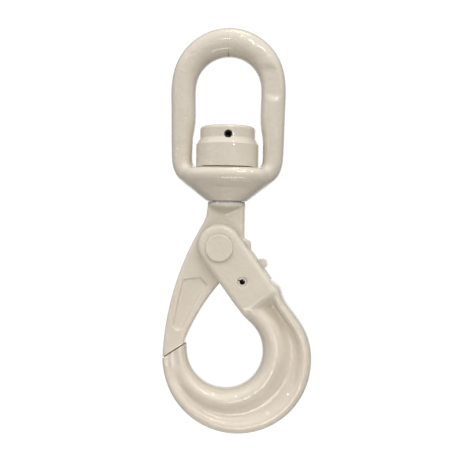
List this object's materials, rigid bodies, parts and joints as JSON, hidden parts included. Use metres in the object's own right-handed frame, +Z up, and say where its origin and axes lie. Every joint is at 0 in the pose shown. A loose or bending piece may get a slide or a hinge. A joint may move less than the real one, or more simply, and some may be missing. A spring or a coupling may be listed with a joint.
{
  "type": "swivel hook",
  "caption": "Cream-painted self-locking swivel hook with an oval bow, a bearing nut and a thumb trigger between its ears.",
  "frame": {"origin": "bearing point inside the crown of the bow, on the swivel axis", "axes": "+Z up along the swivel axis, towards the crown; +X towards the hook's back; the flat faces look along -Y and +Y"},
  "size_m": [0.0857, 0.0408, 0.2323],
  "materials": {
    "cream_paint": "gloss",
    "bearing_steel": "polished",
    "spring_steel": "satin",
    "seal_rubber": "matte"
  },
  "bodies": {
    "bow": {"swivel_bow": "cream_paint", "bearing_lower_race": "bearing_steel"},
    "bearing_roll": {"bearing_cage": "bearing_steel", "bearing_balls": "bearing_steel"},
    "gate": {"gate_body": "cream_paint", "shank_nut": "cream_paint", "nut_spring_pin": "spring_steel", "bearing_upper_race": "bearing_steel", "nut_seal": "seal_rubber", "neck_washer": "bearing_steel"},
    "hook": {"hook_body": "cream_paint", "load_pin": "cream_paint", "trigger_spring_pin": "spring_steel", "trigger_spring": "spring_steel"},
    "trigger_lever": {"trigger": "cream_paint"}
  },
  "joints": [
    {"name": "swivel", "type": "hinge", "parent": "bow", "child": "gate", "pos_m": [0, 0, -0.0581], "axis": [0, 0, 1], "continuous": true},
    {"name": "bearing_turn", "type": "hinge", "parent": "bow", "child": "bearing_roll", "pos_m": [0, 0, -0.0581], "axis": [0, 0, 1], "continuous": true},
    {"name": "hook_open", "type": "hinge", "parent": "gate", "child": "hook", "pos_m": [-0.0025, 0, -0.1089], "axis": [0, -1, 0], "range_deg": [0, 36]},
    {"name": "trigger_press", "type": "hinge", "parent": "hook", "child": "trigger_lever", "pos_m": [0.01062, 0, -0.12764], "axis": [0, 1, 0], "range_deg": [0, 21.6], "stiffness_Nm_per_rad": 0.15, "springref_deg": -17.19, "deforming": ["trigger_spring"]}
  ],
  "couplings": [
    {"joint": "bearing_turn", "follows": "swivel", "ratio": 0.5},
    {"joint": "trigger_press", "follows": "hook_open", "ratio": 0.6}
  ]
}
